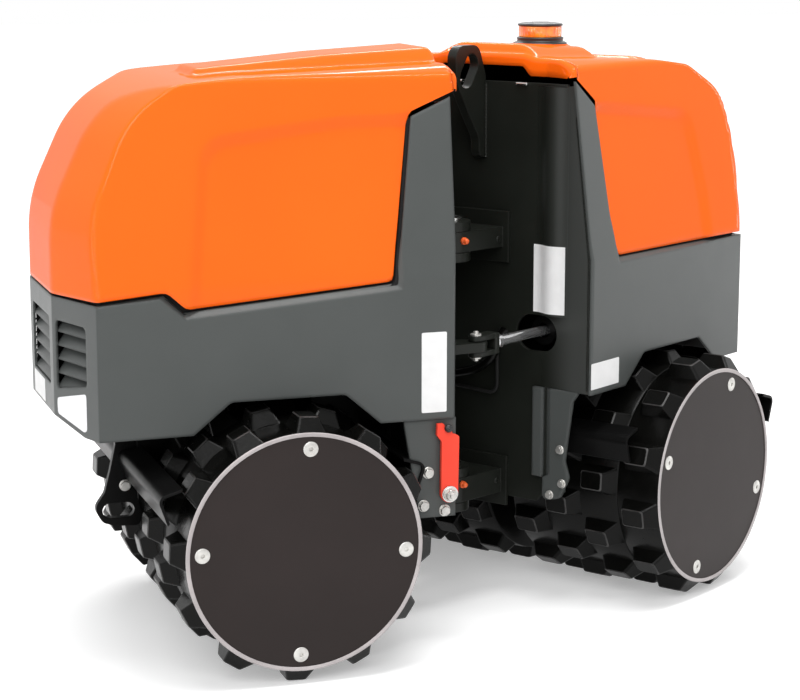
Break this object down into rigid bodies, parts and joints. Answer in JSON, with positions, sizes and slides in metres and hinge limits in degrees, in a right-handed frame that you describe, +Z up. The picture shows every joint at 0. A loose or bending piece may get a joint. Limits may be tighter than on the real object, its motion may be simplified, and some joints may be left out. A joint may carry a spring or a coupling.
{
  "type": "articulated trench roller",
  "caption": "Remote-steered articulated trench roller with padfoot drums, tilting hoods, steering cylinder and lock bar.",
  "frame": {"origin": "point on the ground under the vertical steering axis", "axes": "+Z up along the steering axis, the front half runs along -X; the rear half is steered by 33.7 degrees to its lock, towards +Y"},
  "size_m": [1.7137, 1.1704, 1.27],
  "materials": {
    "orange_paint": "gloss",
    "grey_paint": "satin",
    "dark_steel": "satin",
    "drum_black": "worn gloss paint",
    "plate_dark": "matte",
    "bright_steel": "machined",
    "red_paint": "satin",
    "amber": "clear",
    "black_plastic": "satin",
    "engine_grey": "rough"
  },
  "bodies": {
    "front_frame": {"front_skirt": "grey_paint", "front_hood_hinges": "dark_steel", "front_floor_pan": "dark_steel", "front_joint_wall": "grey_paint", "front_lower_plates": "grey_paint", "front_drum_carrier": "dark_steel", "front_tie_down_eye": "dark_steel", "front_scrapers": "dark_steel", "engine_block": "engine_grey", "steering_ears": "grey_paint", "steering_pins": "bright_steel", "cylinder_ear": "grey_paint", "lock_bar_pin": "bright_steel"},
    "front_drums": {"front_axle": "bright_steel", "front_drum_left": "drum_black", "front_drum_right": "drum_black", "front_extension_left": "drum_black", "front_extension_right": "drum_black", "front_end_plate_left": "plate_dark", "front_end_plate_right": "plate_dark"},
    "front_hood_lid": {"front_hood": "orange_paint", "front_hood_arms": "dark_steel"},
    "lock_bar_arm": {"lock_bar": "red_paint"},
    "rear_frame": {"rear_skirt": "grey_paint", "rear_hood_hinges": "dark_steel", "rear_floor_pan": "dark_steel", "rear_joint_wall": "grey_paint", "rear_lower_plates": "grey_paint", "rear_drum_carrier": "dark_steel", "rear_tie_down_eye": "dark_steel", "rear_scrapers": "dark_steel", "tank_block": "black_plastic", "steering_arms": "grey_paint", "barrel_pin": "bright_steel", "lifting_eye": "grey_paint"},
    "rear_drums": {"rear_axle": "bright_steel", "rear_drum_left": "drum_black", "rear_drum_right": "drum_black", "rear_extension_left": "drum_black", "rear_extension_right": "drum_black", "rear_end_plate_left": "plate_dark", "rear_end_plate_right": "plate_dark"},
    "rear_hood_lid": {"rear_hood": "orange_paint", "rear_hood_arms": "dark_steel", "beacon_base": "black_plastic", "beacon_lens": "amber", "beacon_cap": "black_plastic"},
    "steering_barrel": {"cylinder_barrel": "dark_steel"},
    "steering_rod": {"cylinder_rod": "bright_steel"}
  },
  "joints": [
    {"name": "steer", "type": "hinge", "parent": "front_frame", "child": "rear_frame", "pos_m": [0, 0, 0.5], "axis": [0, 0, 1], "range_deg": [-67.4, 0]},
    {"name": "front_drum_spin", "type": "hinge", "parent": "front_frame", "child": "front_drums", "pos_m": [-0.441, 0, 0.27], "axis": [0, 1, 0], "continuous": true},
    {"name": "rear_drum_spin", "type": "hinge", "parent": "rear_frame", "child": "rear_drums", "pos_m": [0.36689, 0.24469, 0.27], "axis": [-0.5548, 0.832, 0], "continuous": true},
    {"name": "front_hood_hinge", "type": "hinge", "parent": "front_frame", "child": "front_hood_lid", "pos_m": [-0.853, 0, 0.7], "axis": [0, -1, 0], "range_deg": [0, 60]},
    {"name": "rear_hood_hinge", "type": "hinge", "parent": "rear_frame", "child": "rear_hood_lid", "pos_m": [0.64227, 0.42834, 0.7], "axis": [-0.5548, 0.832, 0], "range_deg": [0, 60]},
    {"name": "lock_bar_swing", "type": "hinge", "parent": "front_frame", "child": "lock_bar_arm", "pos_m": [-0.102, -0.305, 0.335], "axis": [0, 1, 0], "range_deg": [0, 90]},
    {"name": "barrel_swing", "type": "hinge", "parent": "rear_frame", "child": "steering_barrel", "pos_m": [0.41989, 0.09132, 0.61], "axis": [0, 0, 1], "range_deg": [-3.46, 0]},
    {"name": "rod_slide", "type": "slide", "parent": "steering_barrel", "child": "steering_rod", "axis": [-0.8525, -0.5227, 0], "range_m": [-0.1775, 0]}
  ],
  "couplings": [
    {"joint": "barrel_swing", "follows": "steer", "ratio": 0.04992},
    {"joint": "rod_slide", "follows": "steer", "m_per_rad": 0.15002}
  ]
}
